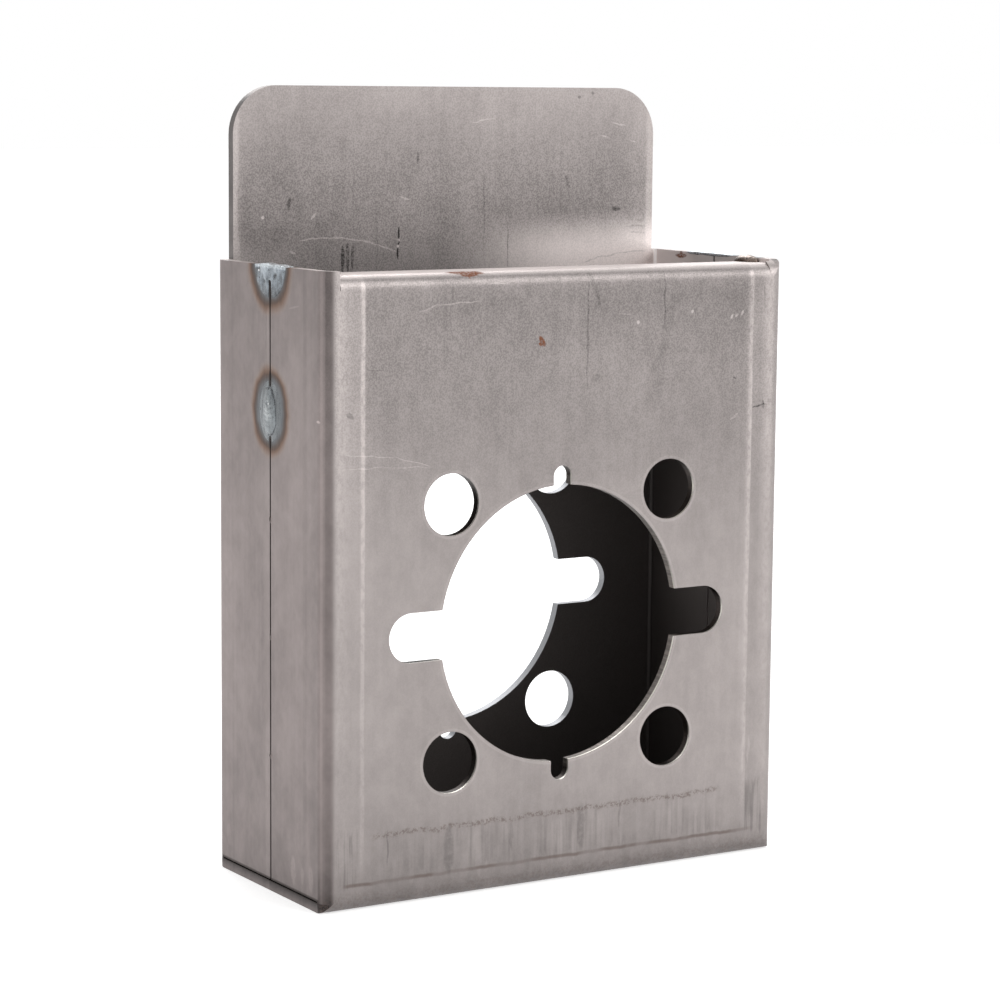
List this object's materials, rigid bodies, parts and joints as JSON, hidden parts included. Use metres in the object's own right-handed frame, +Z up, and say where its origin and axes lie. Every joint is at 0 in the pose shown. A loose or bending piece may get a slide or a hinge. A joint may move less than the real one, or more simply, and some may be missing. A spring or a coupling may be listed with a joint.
{
  "type": "gate lock box",
  "caption": "Weldable sheet-steel lock box for a gate, with a cross-bored cut-out in both panels, an open latch end and a latch-cover tab.",
  "frame": {"origin": "bottom centre of the box, in the middle of the closed web that it stands on", "axes": "+Z up towards the open latch end and the tab, -Y out of the front panel, +X across the front to its right"},
  "size_m": [0.1054, 0.0444, 0.1534],
  "materials": {
    "bare_steel": "bare mill-finish mild steel with handling marks",
    "weld_metal": "blue-grey oxidised weld metal"
  },
  "bodies": {
    "root": {"folded_body": "bare_steel", "left_seam_weld_top": "weld_metal", "left_seam_weld_middle": "weld_metal", "right_seam_weld_top": "weld_metal", "right_seam_weld_middle": "weld_metal", "right_flange_weld": "weld_metal"}
  },
  "joints": []
}
